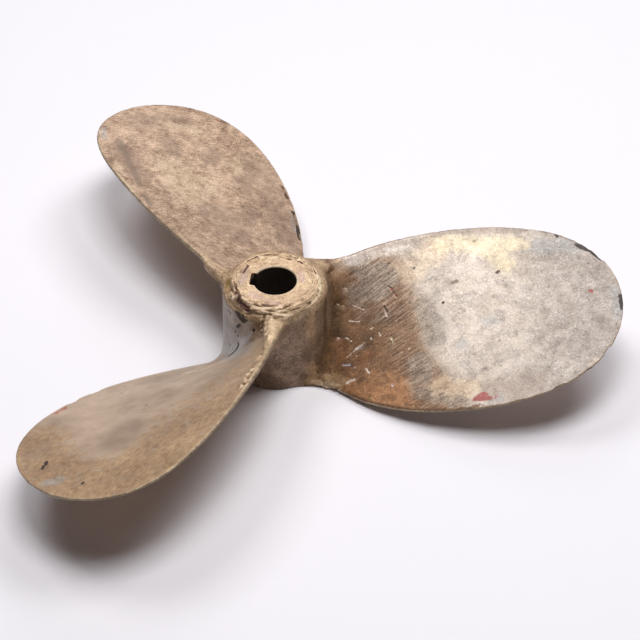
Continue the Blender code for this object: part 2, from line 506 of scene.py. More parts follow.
# %% [markdown]
# ## The hub
#
# The hub is turned on a lathe, so half of its section is drawn once and spun round the shaft's axis.
# The bore is part of that section: it is a taper of one in sixteen, with a small chamfer at its mouth.

# %% Hub
HUB_AFT = 32.5 * MM + PLANE_HEIGHT
HUB_FORWARD = lowest.z
FACE_RADIUS = 25 * MM
SHOULDER_RADIUS = 31 * MM
SHOULDER_DROP = 4.5 * MM
BARREL_RADIUS = 32.5 * MM
FOOT_CORNER = 2 * MM
BORE_RADIUS = 12.6 * MM
BORE_TAPER = 1 / 16
MOUTH_CHAMFER = 0.5 * MM
HUB_STEPS = 176
SHOULDER_STEPS = 9
FOOT_STEPS = 4
FACE_STEP = 1.1 * MM
WALL_STEP = 1.8 * MM
FORWARD_STEP = 3 * MM
BORE_STEP = 4 * MM


def evenly(near, far, length):
    """Points in even steps of about this length from one point towards another, which is left out."""
    steps = max(1, round((far - near).length / length))
    return [near.lerp(far, step / steps) for step in range(steps)]


def arc_points(centre, reach, first, last, steps):
    """Points on a quarter of an ellipse about a centre, from one angle to another."""
    turns = [radians(first + (last - first) * step / steps) for step in range(steps + 1)]
    return [Vector((centre[0] + reach[0] * sin(turn), centre[1] + reach[1] * cos(turn))) for turn in turns]


def hub_section():
    """The closed outline of half the hub, as radius and height, from the bore's mouth outwards."""
    forward_bore = BORE_RADIUS + BORE_TAPER / 2 * (HUB_AFT - HUB_FORWARD)
    mouth = Vector((BORE_RADIUS + MOUTH_CHAMFER, HUB_AFT))
    shoulder = arc_points((FACE_RADIUS, HUB_AFT - SHOULDER_DROP),
                          (SHOULDER_RADIUS - FACE_RADIUS, SHOULDER_DROP), 0, 90, SHOULDER_STEPS)
    foot_centre = (BARREL_RADIUS - FOOT_CORNER, HUB_FORWARD + FOOT_CORNER)
    foot = arc_points(foot_centre, (FOOT_CORNER, FOOT_CORNER), 90, 180, FOOT_STEPS)
    inner_foot = Vector((forward_bore, HUB_FORWARD))
    inner_mouth = Vector((BORE_RADIUS, HUB_AFT - MOUTH_CHAMFER))
    return (evenly(mouth, shoulder[0], FACE_STEP) + shoulder[:-1]
            + evenly(shoulder[-1], foot[0], WALL_STEP) + foot[:-1]
            + evenly(foot[-1], inner_foot, FORWARD_STEP) + evenly(inner_foot, inner_mouth, BORE_STEP)
            + [inner_mouth])


def spun(name, section, steps):
    """A closed body turned about the shaft's axis from a closed section."""
    turns = [2 * pi * step / steps for step in range(steps)]
    points = [(spot.x * cos(turn), spot.x * sin(turn), spot.y) for turn in turns for spot in section]
    around = len(section)
    pairs = [(start + i, start + (i + 1) % around)
             for start in range(0, len(points), around) for i in range(around)]
    faces = [(a, b, (b + around) % len(points), (a + around) % len(points)) for a, b in pairs]
    mesh = bpy.data.meshes.new(name)
    mesh.from_pydata(points, [], faces)
    return placed(name, mesh)


hub = spun("hub", hub_section(), HUB_STEPS)
measure("hub", hub.data)

# %% [markdown]
# ## One casting
#
# On the real part hub and blades are poured in one, with a tongue of metal where each blade's high edge
# climbs to the hub's shoulder. Then the forward face is turned flat and the keyway is cut. Booleans do
# the same: unions, and two cuts with plain cutters. The exact solver is chosen because the cuts pass
# right along other faces.

# %% Join and cut
KEY_WIDTH = 11 * MM
KEY_REACH = 14.8 * MM
KEY_CORNER = 1.4 * MM
CUT_PAST = 4 * MM
FACING_DEPTH = 40 * MM
# Where a tongue is thickest and where it ends, as radius, degrees from the blade's middle and height,
# with its half widths sideways and upright, all in millimetres
TONGUES = (
    ((30, 45, 15.5), (44, 41, 20.0), (6.5, 5.5)),
    ((30, 50, 17.0), (50, 37, 21.0), (4.5, 4.5)),
    ((30, 35, 17.5), (52, 34, 21.0), (5.5, 4.8)),
)


def block_cutter(name, corners):
    """A closed block from its eight corners, the lower four first."""
    mesh = bpy.data.meshes.new(name)
    sides = [(i, (i + 1) % 4, 4 + (i + 1) % 4, 4 + i) for i in range(4)]
    mesh.from_pydata(corners, [], [(3, 2, 1, 0), (4, 5, 6, 7)] + sides)
    return placed(name, mesh)


def keyway_cutter():
    """The key's slot, whose floor keeps its depth from the tapered wall, with small round corners."""
    half = KEY_WIDTH / 2
    corners = []
    for height in (HUB_FORWARD - CUT_PAST, HUB_AFT + CUT_PAST):
        floor = -KEY_REACH - BORE_TAPER / 2 * (HUB_AFT - height)
        corners += [(floor, -half, height), (0, -half, height), (0, half, height), (floor, half, height)]
    cutter = block_cutter("keyway_cutter", corners)
    with edited(cutter.data) as body:
        upright = [edge for edge in body.edges
                   if all(vert.co.x < -KEY_REACH / 2 for vert in edge.verts)
                   and abs(edge.verts[0].co.z - edge.verts[1].co.z) > half]
        bmesh.ops.bevel(body, geom=upright, offset=KEY_CORNER, segments=3, affect="EDGES", profile=0.5)
    return cutter


def facing_cutter():
    """A block below the forward face, which takes off what the fillets left there."""
    side = 2 * BARREL_RADIUS
    square = ((-side, -side), (side, -side), (side, side), (-side, side))
    heights = (HUB_FORWARD - FACING_DEPTH, HUB_FORWARD)
    return block_cutter("facing_cutter", [(x, y, height) for height in heights for x, y in square])


def round_place(radius, azimuth, height):
    """A point from its radius, its angle in degrees and its height, in millimetres."""
    return Vector((radius * cos(radians(azimuth)), radius * sin(radians(azimuth)), height)) * MM


def tongue(blade):
    """A long egg of metal that runs from the hub's shoulder out along a blade's high edge."""
    thickest, end, (sideways, upright) = TONGUES[blade]
    middle = round_place(*thickest)
    reach = round_place(*end) - middle
    side = Vector((0, 0, 1)).cross(reach).normalized()
    up = reach.cross(side).normalized()
    axes = Matrix((reach, side * sideways * MM, up * upright * MM)).transposed().to_4x4()
    turn = Matrix.Rotation(2 * pi * blade / BLADES, 4, "Z")
    mesh = bpy.data.meshes.new(f"tongue_{blade + 1}")
    with edited(mesh) as body:
        bmesh.ops.create_icosphere(body, subdivisions=4, radius=1,
                                   matrix=turn @ Matrix.Translation(middle) @ axes)
    return placed(mesh.name, mesh)


def in_order(mesh):
    """The mesh with its points and faces in one fixed order, because booleans leave them in any order."""
    points = [tuple(vertex.co) for vertex in mesh.vertices]
    order = sorted(range(len(points)), key=points.__getitem__)
    place = {index: rank for rank, index in enumerate(order)}
    faces = [[place[index] for index in face.vertices] for face in mesh.polygons]
    made = bpy.data.meshes.new(mesh.name)
    made.from_pydata([points[index] for index in order], [], sorted(faces))
    return made


def combined(base, steps):
    """The base joined with, or cut by, each other body in turn, as one plain mesh."""
    for operation, other in steps:
        step = base.modifiers.new(other.name, "BOOLEAN")
        step.operation = operation
        step.solver = "EXACT"
        step.object = other
    mesh = baked(base)
    for other in [base] + [other for operation, other in steps]:
        bpy.data.objects.remove(other)
    with edited(mesh) as body:
        bmesh.ops.dissolve_degenerate(body, dist=MERGE, edges=body.edges)
    return in_order(mesh)


casting = combined(hub, [("UNION", blades)] + [("UNION", tongue(blade)) for blade in range(BLADES)]
                   + [("DIFFERENCE", facing_cutter()), ("DIFFERENCE", keyway_cutter())])
measure("casting", casting)

# %% [markdown]
# ## Where things are on a blade
#
# Wear is easiest to describe on the blade itself: so far out, and so far along the chord towards the
# high edge. Two functions turn points in space into such places and back, by the same laws as above.


# %% Chart of a blade
STEEPEST = 8


def law(name, t):
    """A law's value where t runs from 0 at the hub's wall to 1 at the tip."""
    values = list(BLADE_LAWS[f"{name} Law"])
    if f"{name} Law End" in BLADE_LAWS:
        values.append(BLADE_LAWS[f"{name} Law End"])
    while len(values) > 1:
        values = [low + (high - low) * t for low, high in zip(values, values[1:])]
    return values[0]


def radius_of(points):
    return np.hypot(points[:, 0], points[:, 1])


def azimuth_of(points):
    return np.arctan2(points[:, 1], points[:, 0])


def outwards(radius):
    """How far out on the blade a radius lies, from 0 at the hub's wall to 1 at the tip."""
    wall, tip = BLADE_LAWS["Wall Radius"], BLADE_LAWS["Tip Radius"]
    return np.clip((radius - wall) / (tip - wall), 0, 1)


def half_width(radius):
    """Half the blade's width at a radius."""
    t = outwards(radius)
    width = law("Width", t) * np.sqrt(1 - t ** BLADE_LAWS["Tip Rounding"])
    return np.maximum(width, BLADE_LAWS["Tip Width"]) / 2


def chart(points):
    """For each point its blade's number, its radius, and how far along the chord and out of it it lies."""
    radius = np.maximum(radius_of(points), MM)
    t = outwards(radius)
    slope = np.arctan2(law("Pitch", t), 2 * pi * radius)
    height = points[:, 2] - PLANE_HEIGHT - law("Rake", t)
    best = None
    for blade in range(BLADES):
        turn = azimuth_of(points) - 2 * pi * blade / BLADES
        arc = ((turn + pi) % (2 * pi) - pi) * radius
        along = arc * np.cos(slope) + height * np.sin(slope) - law("Skew", t)
        out = height * np.cos(slope) - arc * np.sin(slope)
        here = np.stack((np.full(len(points), blade + 1.0), radius, along, out), axis=1)
        if best is None:
            best = here
        else:
            nearer = np.abs(out) < np.abs(best[:, 3])
            best[nearer] = here[nearer]
    return best


def from_chart(place):
    """The points in space at these places on the blades, which undoes what chart does."""
    blade, radius, along, out = place.T
    t = outwards(radius)
    slope = np.arctan2(law("Pitch", t), 2 * pi * radius)
    along = along + law("Skew", t)
    turn = (along * np.cos(slope) - out * np.sin(slope)) / radius + 2 * pi * (blade - 1) / BLADES
    height = law("Rake", t) + along * np.sin(slope) + out * np.cos(slope) + PLANE_HEIGHT
    return np.stack((radius * np.cos(turn), radius * np.sin(turn), height), axis=1)


def from_outline(place):
    """How far each place lies in from the blade's outline, and the way in as steps of radius and chord."""
    radius, along = place[:, 1], place[:, 2]
    step = 0.2 * MM
    narrows = (half_width(radius + step) - half_width(radius - step)) / (2 * step)
    narrows = np.clip(narrows, -STEEPEST, STEEPEST)
    steep = np.hypot(1, narrows)
    return (half_width(radius) - np.abs(along)) / steep, narrows / steep, -np.sign(along) / steep


print("half width at mid radius:", round(float(half_width(120 * MM)) / MM, 1), "mm")

# %% [markdown]
# ## Marks
#
# Gouges, nicks, spots, paint and stains were placed one by one. Each is a stroke from one place to
# another, with half its width in millimetres, and each kind becomes a soft mask on the surface. A gouge
# also has a depth and cuts a real groove, and a nick pushes the blade's edge in. A place on a blade is
# a radius and a distance along the chord. On the hub it is a radius, an angle round the shaft and a height.

# %% Marks on the blades and the hub
Mark = namedtuple("Mark", "kind blade start end reach depth", defaults=(0.0,))
HUB = 0

# Each row is a stroke: where it starts, where it ends, half its width and, if it cuts, its depth
STROKES = {
    ("bare", 1): (
        (45.1, 10.7, 48, 10, 0.15, 0.4), (48, 10, 52.1, 8.3, 0.35, 0.45), (43.4, 1.3, 49.4, 1, 0.25, 0.35),
        (38.2, -9.4, 43.6, -9, 0.3, 0.4), (43.6, -9, 47, -10.8, 0.35, 0.45),
        (62.2, -5.4, 63.8, -7.6, 0.3, 0.35), (58, -8.8, 58.5, -9.4, 0.4, 0.3),
        (46.9, -20.7, 55, -11.3, 0.12, 0.25), (48.1, -18.9, 52, -13.8, 0.25, 0.2),
        (51.9, -19.4, 52.3, -19.7, 0.4, 0.3), (53.1, -26.3, 54.1, -27.2, 0.25, 0.25),
        (60.7, -27.5, 64.1, -30.9, 0.25, 0.4), (54.1, -37.1, 57.1, -35, 0.7, 0.45),
        (67.4, 21.5, 71, 16, 0.3, 0.3), (64.5, 7.7, 65.8, 4.6, 0.35, 0.4), (145.5, 38.4, 147, 38.6, 0.9),
        (188, -38.5, 191, -36.5, 0.9),
    ),
    ("bare", 2): (
        (167.7, 30, 168.4, 26, 0.5), (88.5, 4.8, 89, 5, 0.6), (74.4, 3.2, 75, 3.4, 0.6),
        (97, 0.6, 97.6, 0.8, 0.5),
    ),
    ("bare", HUB): ((30.8, -163, 24.6, 29.2, -150, 24.2, 0.5), (29.2, -150, 24.2, 27.4, -145, 24.2, 0.6)),
    # The right blade's first three strokes run beside gouges: painted shadow on each gouge's shaded side,
    # over a shallow groove. The others are dark chips and spots.
    ("dark", 1): (
        (66.7, 23, 68.6, 22.1, 0.35, 0.2), (69.5, 20.3, 70, 18.7, 0.35), (63.9, 10.7, 66.3, 7.1, 0.3, 0.2),
        (79.7, 34.6, 83.6, 34.4, 0.25), (68.8, 37.2, 69.2, 37.1, 0.4), (170, 53.6, 170.5, 54, 0.9),
        (181, 46.5, 187, 43, 1.5, 0.3), (187, 43, 193.5, 36.5, 1.2, 0.3), (202, 9, 203, 0, 1.3),
    ),
    ("dark", 2): ((116, -58.4, 106, -57.2, 0.9), (106, -57.2, 96, -55.2, 1)),
    ("dark", 3): (
        (39, -8, 33.5, 0, 0.6, 0.2), (182, -21.5, 184, -20, 0.8, 0.3), (186, -20, 188, -19, 0.9, 0.3),
        (188.4, 11.7, 188.8, 12, 1, 0.3),
    ),
    ("dark", HUB): (
        (25.4, -141, 24.2, 26.5, -128, 23.9, 0.45, 0.4), (27, -124, 24, 29, -113, 23.7, 0.5, 0.4),
        (31, -128, 20, 31, -120, 16, 1.5, 0.2), (31.1, -123, 18, 31.1, -116, 17.4, 0.8, 0.2),
        (31.1, -120.5, 22, 31.1, -118, 15, 0.5, 0.1), (31.2, -145.7, 15.2, 31.2, -139, 14.7, 0.3, 0.1),
        (31.3, -124.5, 11.4, 31.3, -129, 8.4, 0.6, 0.2), (31.5, -132.5, 3.4, 31.5, -132, 4.2, 0.5, 0.3),
        (31.5, -128, 1.9, 31.5, -127.6, 2.2, 0.4, 0.3), (31.3, -106.8, 11.5, 31.3, -106.2, 12.3, 0.6, 0.4),
    ),
    ("red", 1): (
        (68.8, 21.5, 71.4, 16.6, 0.45, 0.3), (158.5, 39, 159.8, 38.6, 0.6), (133, -53.5, 141.5, -55, 1.4),
        (135, -51, 137, -54, 1.2), (184, 13.4, 184.6, 13.5, 0.9),
    ),
    ("red", 2): ((184, -42, 188, -38, 0.5),),
    ("red", 3): ((146, -57, 139, -58, 1.2),),
    ("lilac", 1): ((46.4, -25.9, 50.4, -25.4, 0.5, 0.4), (80, -38.6, 81.2, -40, 0.4, 0.2)),
    ("slate", 1): (
        (51.3, -15.6, 53.8, -14, 0.9), (147.5, 43.1, 152.3, 43.6, 1), (160, 46, 180, 46, 4.5),
        (198, 12, 201, -4, 3), (125, -1, 130, -2, 2), (111, -15, 113, -16, 2), (141, -56, 145, -56, 2),
    ),
    ("slate", 2): ((184, 43, 175, 48, 1.6), (112, -56, 100, -54, 1.4)),
    ("slate", 3): ((34, -12, 46, 12, 6), (191, -2, 197, -8, 2.5)),
    ("cream", 1): (
        (57, -3, 58.1, -2.1, 0.5, 0.3), (69.9, -8.2, 71.7, -11.4, 0.5, 0.4),
        (42.2, 20.7, 42.7, 20.6, 0.5, 0.3), (36.3, 10.7, 36.8, 10.5, 0.4, 0.3),
        (39.8, 9.8, 40.2, 9.6, 0.3, 0.2), (78.6, 12.6, 79.2, 12.2, 0.5, 0.3),
        (82.3, -15.2, 82.5, -16, 0.4, 0.3), (103, 50.5, 147, 48.5, 4.6), (126, 45, 136, 35, 4.5),
        (40, -40.5, 51, -44, 0.9),
    ),
    ("cream", 2): ((136, 60, 116, 60.3, 0.9),),
    ("cream", HUB): (
        (24.5, 30, 25.1, 25.2, 12, 25.1, 0.4), (25.2, 12, 25.1, 27, -3, 24.7, 0.4),
        (27, -3, 24.7, 28.6, -20, 24.1, 0.4), (28.6, -20, 24.1, 29.2, -38, 23.7, 0.4),
    ),
    ("smear", 2): (
        (168.5, 40, 153, 42.9, 2.2), (153, 42.9, 121.6, 50.2, 1.8, 0.1), (111, 52.8, 103.3, 54.2, 2, 0.1),
    ),
    ("shade", 1): ((124, -50, 160, -48, 7), (66, 47.5, 110, 58.4, 1.6), (110, 58.4, 152, 58.6, 1.8)),
    ("shade", 2): (
        (94, 10, 94, -12, 7), (82, 8, 80, -6, 7), (160, 44, 132, 44, 6), (98, -18, 103, -26, 5),
        (187, 16, 184, -12, 7), (165, 6, 152, 8, 4), (152, -21, 146, -14, 4), (130, -31, 126, -30, 5),
        (145, -45, 92, -46, 9),
    ),
    ("shade", 3): ((134, 2, 150, 8, 8), (174, -31, 184, -36, 3.5)),
    ("shade", HUB): ((19.5, 158, 25.1, 20, -166, 25.1, 2.2),),
    ("frost_and_highlight", 1): ((108, -42, 126, -46, 5), (81, 33, 96, 46, 6), (38, -38, 50, -41, 1.8)),
    ("frost_and_highlight", 2): (
        (136, 20, 110, 18, 9), (138, 20, 122, 0, 8), (148, -33, 140, -28, 4), (182, 0, 172, -22, 4),
        (150, 54, 134, 56, 1.6),
    ),
    # Painted highlight: a lighter streak along the lower blade's edge by its root
    ("frost_and_highlight", 3): ((64, -25, 60, -12, 1.6), (60, -12, 50, -2, 1.8)),
    ("umber", 1): ((130.9, 29.8, 132.3, 31, 0.8, 0.2), (98.3, 11.8, 98.7, 12.3, 0.5, 0.2)),
    ("umber", 2): ((134, -58.4, 126, -58.8, 0.7),),
    ("umber", HUB): (
        (23.2, -168, 25.1, 23.8, -152, 25, 0.45, 0.3), (24.4, -148, 24.8, 25.2, -136, 24.4, 0.9, 0.4),
        (26, -131, 24, 27.8, -118, 24, 1.2, 0.4), (24.6, 20, 25.1, 24.4, 30, 25.1, 0.3, 0.3),
        (22, 50, 25.1, 21.8, 58, 25.1, 0.3, 0.3), (24.3, 92, 25.1, 24, 112, 25.1, 0.35, 0.2),
        (24.4, 122, 25.1, 24.2, 140, 25.1, 0.3, 0.2), (23.4, 62, 25.1, 23.8, 76, 25.1, 0.35, 0.2),
        (21, 146, 25.1, 20, 166, 25.1, 0.4, 0.2),
    ),
    ("olive", HUB): ((27.2, -178, 22.5, 27.6, -158, 22, 1.9),),
    # Dark dirt on the right blade, and in the last stroke painted shade in the corner where it meets the
    # hub
    ("dirt_and_shade", 1): (
        (104.2, 24.5, 107.2, 25.7, 0.9, 0.2), (53, 2, 66, 3, 3.5), (56, -8, 60, -4, 3), (34, 18, 37, -6, 2),
    ),
    # On the hub: dark dirt on the shoulder first, then painted shade in the corner beside the right blade's
    # root, and last a painted shadow along the foot of the front wall
    ("dirt_and_shade", HUB): (
        (27.5, -146, 23.5, 29.8, -126, 22.5, 2), (31.1, -13, 18, 32.1, -20, -10, 1.6),
        (32.7, 10, 9, 34.5, -13, -11, 1.8), (32.1, -20, -10, 32.5, -30, -18, 2),
        (32.3, -94, -24, 32.3, -78, -31, 4),
    ),
    ("smoke", 1): (
        (48, 17, 60, 22, 6), (60, 24, 70, 29, 5), (53, 30, 66, 34, 3.5), (88, 12, 96, -10, 5),
        (90, -24, 97, -40, 5), (100, -46, 124, -53, 4),
    ),
    ("smoke", HUB): ((31, -128, 18, 31.3, -126, 6, 3),),
    ("rust", 1): ((40.4, -12, 43, -22, 2.5), (56, -22, 60, -20, 3)),
    ("ochre", 1): ((42, -34, 50, -38, 3),),
    ("ochre", HUB): (
        (22.5, 140, 25.1, 23.6, 105, 25.1, 1.6), (23.6, 105, 25.1, 23.6, 62, 25.1, 1.3),
        (31.2, -43, 16, 31.4, -41, 4, 3), (32.5, -46, -22, 34, -44, -29, 3.5),
    ),
    ("rose", HUB): (
        (19, 164, 25.1, 19.6, -172, 25.1, 1.6), (18.5, -132, 25.1, 17.5, -112, 25.1, 1.6),
        (18.6, -96, 25.1, 22, -76, 25.1, 1.5), (15.5, 4, 25.1, 16.5, 34, 25.1, 1.5),
    ),
    ("crust", HUB): (
        (24.5, -168, 25, 26, -142, 24.5, 1.8), (26, -142, 24.5, 28, -118, 24.5, 2.4),
        (28, -118, 24.5, 28.4, -92, 24.2, 2.4), (28.4, -92, 24.2, 28.8, -66, 23.8, 2.6),
        (28.8, -66, 23.8, 27.6, -40, 24.6, 1.8), (24, -112, 25.1, 23.5, -88, 25.1, 1.2),
        (23.5, -88, 25.1, 24.2, -62, 25.1, 1.4), (23.4, 120, 25.1, 23.8, 60, 25.1, 0.8),
    ),
    ("crumbs", 1): ((40, -40, 51, -43.5, 1.4),),
    ("crumbs", 3): ((38, 30, 46, 35.5, 2), (46, 35.5, 58.5, 42, 1.6), (58.5, 42, 97, 54, 1.2)),
    ("crumbs", HUB): ((31, -90, 21, 33.5, -89, 15, 3), (30.5, -97, 20, 33, -96, 12, 1.2)),
    ("nick", 1): (
        (134, -58.4, 137, -58.4, 3, 1.1), (155, -57.6, 158, -57.2, 2.8, 1),
        (163, -56, 165.5, -55.3, 2.4, 0.8), (174, -53, 177, -51.6, 2.6, 1),
        (184.5, -44.5, 187, -42, 2.6, 1), (196, -31, 198, -28, 2.6, 1), (181, 47.5, 186, 43.5, 2.4, 0.8),
        (189, 40.5, 193, 36, 2, 0.6),
    ),
    ("nick", 2): (
        (97, -56, 99, -56.4, 2.6, 1.1), (106, -57.3, 108, -57.6, 2, 0.7), (155, -57.5, 157, -57, 2, 0.7),
    ),
    ("nick", 3): (
        (130, -60, 133, -60, 3.4, 1.8), (114, -59, 117, -59.4, 3, 1.1), (196, 20, 199, 14, 2.2, 0.7),
        (200, 2, 201, -4, 2.2, 0.7),
    ),
}


def as_marks(strokes):
    """Each row of numbers as a mark: its start, its end, half its width, and its depth if it has one."""
    marks = []
    for (kind, blade), rows in strokes.items():
        size = 3 if blade == HUB else 2
        marks += [Mark(kind, blade, row[:size], row[size:2 * size], *row[2 * size:]) for row in rows]
    return marks


MARKS = as_marks(STROKES)
KINDS = tuple(dict.fromkeys(mark.kind for mark in MARKS if mark.kind != "nick"))
print(len(MARKS), "marks of", len(KINDS) + 1, "kinds")

# %% [markdown]
# ## A finer mesh where it counts
#
# A groove can only be as sharp as the triangles that carry it. So edges are split, a few times over,
# where they are longer than their place wants: round the marks, on the hub and in the inner corners.
# Splitting only where it counts keeps the piece light. A subdivision everywhere would not. A triangle
# with one, two or three cut edges becomes two, three or four, so the skin stays closed.

# %% Finer mesh
GROOVE_EDGE = 0.5 * MM
CRUST_EDGE = 0.8 * MM
HUB_EDGE = 1.8 * MM
FACE_EDGE = 1.0 * MM
ROOT_EDGE = 1.6 * MM
ROOT_BAND = (5 * MM, 6 * MM)
MARK_MARGIN = 0.6 * MM
A_METRE = 1.0
TOO_LONG = 1.4
FINE_PASSES = 3
CORNER_ANGLE = radians(18)


def stroke_distance(points, place, mark):
    """The distance of each point from a mark's line: over the blade's face, or through space on the hub."""
    if mark.blade == HUB:
        start, end = (np.array(round_place(*spot)) for spot in (mark.start, mark.end))
    else:
        points, start, end = place[:, 1:3], np.array(mark.start) * MM, np.array(mark.end) * MM
    line = end - start
    share = np.clip((points - start) @ line / (line @ line), 0, 1)
    distance = np.linalg.norm(points - start - share[:, None] * line, axis=1)
    return distance if mark.blade == HUB else np.where(place[:, 0] == mark.blade, distance, A_METRE)


def triplets(items, field, kind=np.float32):
    """A field of three numbers, read from each item of a mesh, as the rows of an array."""
    values = np.empty(len(items) * 3, kind)
    items.foreach_get(field, values)
    return values.reshape(-1, 3)


def coordinates(mesh):
    return triplets(mesh.vertices, "co").astype(float)


def inner_corners(mesh):
    """Points along the sharp inner corners where blades and tongues meet the hub."""
    body = bmesh.new()
    body.from_mesh(mesh)
    found = [(edge.verts[0].co + edge.verts[1].co) / 2 for edge in body.edges
             if edge.is_manifold and edge.calc_face_angle_signed() < -CORNER_ANGLE]
    body.free()
    return [point for point in found if point.xy.length > FACE_RADIUS]


def nearness(points, corners, near, far):
    """1 at points nearer than near to a corner, 0 past far, with a smooth fall between."""
    tree = KDTree(len(corners))
    for index, corner in enumerate(corners):
        tree.insert(corner, index)
    tree.balance()
    close = np.zeros(len(points))
    for index in np.flatnonzero(radius_of(points) < 2 * BARREL_RADIUS):
        close[index] = 1 - smooth(near, far, tree.find(points[index])[2])
    return close


def smooth(low, high, value):
    """0 below low, 1 above high, with a smooth rise between."""
    share = np.clip((value - low) / (high - low), 0, 1)
    return share * share * (3 - 2 * share)


def wanted_length(points, corners):
    """The longest edge that the surface may have at each point."""
    radius = radius_of(points)
    wanted = np.full(len(points), A_METRE)
    on_hub = (radius < BARREL_RADIUS + 1.5 * MM) & (radius > BORE_RADIUS - MM)
    on_hub &= points[:, 2] > HUB_FORWARD + FOOT_CORNER
    wanted[on_hub] = HUB_EDGE
    wanted[nearness(points, corners, *ROOT_BAND) > 0.5] = ROOT_EDGE
    wanted[on_hub & (points[:, 2] > HUB_AFT - SHOULDER_DROP)] = FACE_EDGE
    place = chart(points)
    for mark in sorted(MARKS, key=lambda mark: mark.depth):
        if mark.depth or mark.kind in ("crust", "crumbs"):
            near = stroke_distance(points, place, mark) < mark.reach * MM + MARK_MARGIN
            wanted[near] = GROOVE_EDGE if mark.depth else CRUST_EDGE
    return wanted


def split_long(points, triangles, wanted):
    """Cuts each long edge in its middle, and each triangle into as many as its cut edges need."""
    edges = np.sort(np.stack((triangles, np.roll(triangles, -1, axis=1)), axis=2), axis=2)
    key, number = np.unique(edges[..., 0] * len(points) + edges[..., 1], return_inverse=True)
    near, far = key // len(points), key % len(points)
    length = np.linalg.norm(points[near] - points[far], axis=1)
    cut = np.flatnonzero(length > TOO_LONG * np.minimum(wanted[near], wanted[far]))
    middle = np.full(len(key), -1)
    middle[cut] = len(points) + np.arange(len(cut))
    points = np.concatenate((points, (points[near[cut]] + points[far[cut]]) / 2))
    middle = middle[number.reshape(-1, 3)]
    cuts = (middle >= 0).sum(axis=1)
    odd_one = np.where((cuts == 2)[:, None], middle < 0, middle >= 0).argmax(axis=1)
    order = (odd_one[:, None] + np.arange(3)) % 3
    (a, b, c), (ab, bc, ca) = (np.take_along_axis(part, order, 1).T for part in (triangles, middle))
    plans = {0: ((a, b, c),), 1: ((a, ab, c), (ab, b, c)), 2: ((a, b, bc), (a, bc, ca), (bc, c, ca)),
             3: ((a, ab, ca), (ab, b, bc), (ca, bc, c), (ab, bc, ca))}
    parts = [np.stack(part, axis=1)[cuts == count] for count, plan in plans.items() for part in plan]
    return points, np.concatenate(parts)


def refined(mesh, corners):
    """The mesh with its long edges split, a few times over."""
    mesh.calc_loop_triangles()
    triangles = triplets(mesh.loop_triangles, "vertices", np.int32).astype(np.int64)
    points = coordinates(mesh)
    for step in range(FINE_PASSES):
        points, triangles = split_long(points, triangles, wanted_length(points, corners))
    fine = bpy.data.meshes.new(mesh.name)
    fine.from_pydata(points.tolist(), [], triangles.tolist())
    return fine


corners = inner_corners(casting)
casting = refined(casting, corners)
measure("refined casting", casting)

# %% [markdown]
# ## Cast corners
#
# Molten metal leaves no sharp inner corner: blades and hub flow into each other with fillets. A Bevel
# can't follow such a crooked corner, so a Smooth modifier relaxes the mesh there, held to a band along
# the corners by a vertex group. The faces that the lathe turned later stay flat.

# %% Soft inner corners
WIDE_BAND = (5 * MM, 12 * MM)
EDGE_BAND = (1.5 * MM, 4 * MM)
OUT_THERE = (38 * MM, 45 * MM)
TURNED_MARGIN = 3 * MM
CORNER_PASSES = 110


def soften(mesh, corners):
    """Relaxes the mesh in a band along the inner corners, a narrow one out where a tongue meets an edge."""
    points = coordinates(mesh)
    radius = radius_of(points)
    out_there = smooth(*OUT_THERE, radius)
    share = nearness(points, corners, *WIDE_BAND) * (1 - out_there)
    share += nearness(points, corners, *EDGE_BAND) * out_there
    share *= smooth(0, TURNED_MARGIN, points[:, 2] - HUB_FORWARD)
    share *= smooth(0, TURNED_MARGIN, radius - FACE_RADIUS)
    soft = placed("soft_casting", mesh)
    band = soft.vertex_groups.new(name="inner_corners")
    for index in np.flatnonzero(share > 0.01):
        band.add([int(index)], share[index], "REPLACE")
    step = soft.modifiers.new("cast_fillets", "SMOOTH")
    step.factor = 0.5
    step.iterations = CORNER_PASSES
    step.vertex_group = band.name
    result = baked(soft)
    bpy.data.objects.remove(soft)
    return result


casting = soften(casting, corners)
print("softened along", len(corners), "corner points")

# %% [markdown]
# ## Wear in the shape
#
# The fine mesh is now worn. The skin gets the faint waves of a hand-dressed casting, the edges become
# ragged and nicked, grooves are pressed in along the normals, and the broken crust round the shoulder
# stands up in ridges. Perlin noise places what was not placed one by one.

# %% Waves, edges and grooves
WAVE_SIZE = 17 * MM
WAVE_HEIGHT = 0.12 * MM
RAG_SIZE = 2.4 * MM
RAG_DEPTH = 0.35 * MM
RAG_BAND = 3.5 * MM
CRUST_HEIGHT = 0.6 * MM
CRUST_SIZES = np.array((1.5 * MM, 7 * MM, 1.5 * MM))
CRUMB_SIZE = 2.0 * MM
CRUST_CONTRAST = 3.2
WORN_FROM = (38 * MM, 46 * MM)

HubForm = namedtuple("HubForm", "azimuth spread near far rise")
HUB_FORMS = (
    HubForm(-168, 14, 25.3, 29.6, -3.0),
    HubForm(-168, 24, 29.8, 33.0, 1.4),
    HubForm(-133, 26, 25.0, 31.5, -1.8),
)


def wander(points):
    """Perlin noise at each point, from about -1 to 1."""
    return np.array([noise.noise(point) for point in points])


def round_shaft(points):
    """Radius, arc from the back and height of each point, for patterns that run round the hub."""
    from_back = np.arctan2(points[:, 0], -points[:, 1])
    return np.stack((radius_of(points), from_back * FACE_RADIUS, points[:, 2]), axis=1)


def mark_masks(points, place):
    """A mask for each kind of mark, the depth that they cut, and how far they push the edge in."""
    masks = {kind: np.zeros(len(points)) for kind in KINDS}
    depth, push = np.zeros((2, len(points)))
    for mark in MARKS:
        share = stroke_distance(points, place, mark) / (mark.reach * MM)
        if mark.kind == "nick":
            push = np.maximum(push, mark.depth * MM * (1 - smooth(0.0, 1.0, share)))
            continue
        aft = 1 if mark.blade == HUB else place[:, 3] > -0.5 * MM
        masks[mark.kind] = np.maximum(masks[mark.kind], (1 - smooth(0.4, 2.0, share)) * aft)
        depth = np.maximum(depth, mark.depth * MM * (1 - smooth(0.0, 1.3, share)) * aft)
    return masks, depth, push


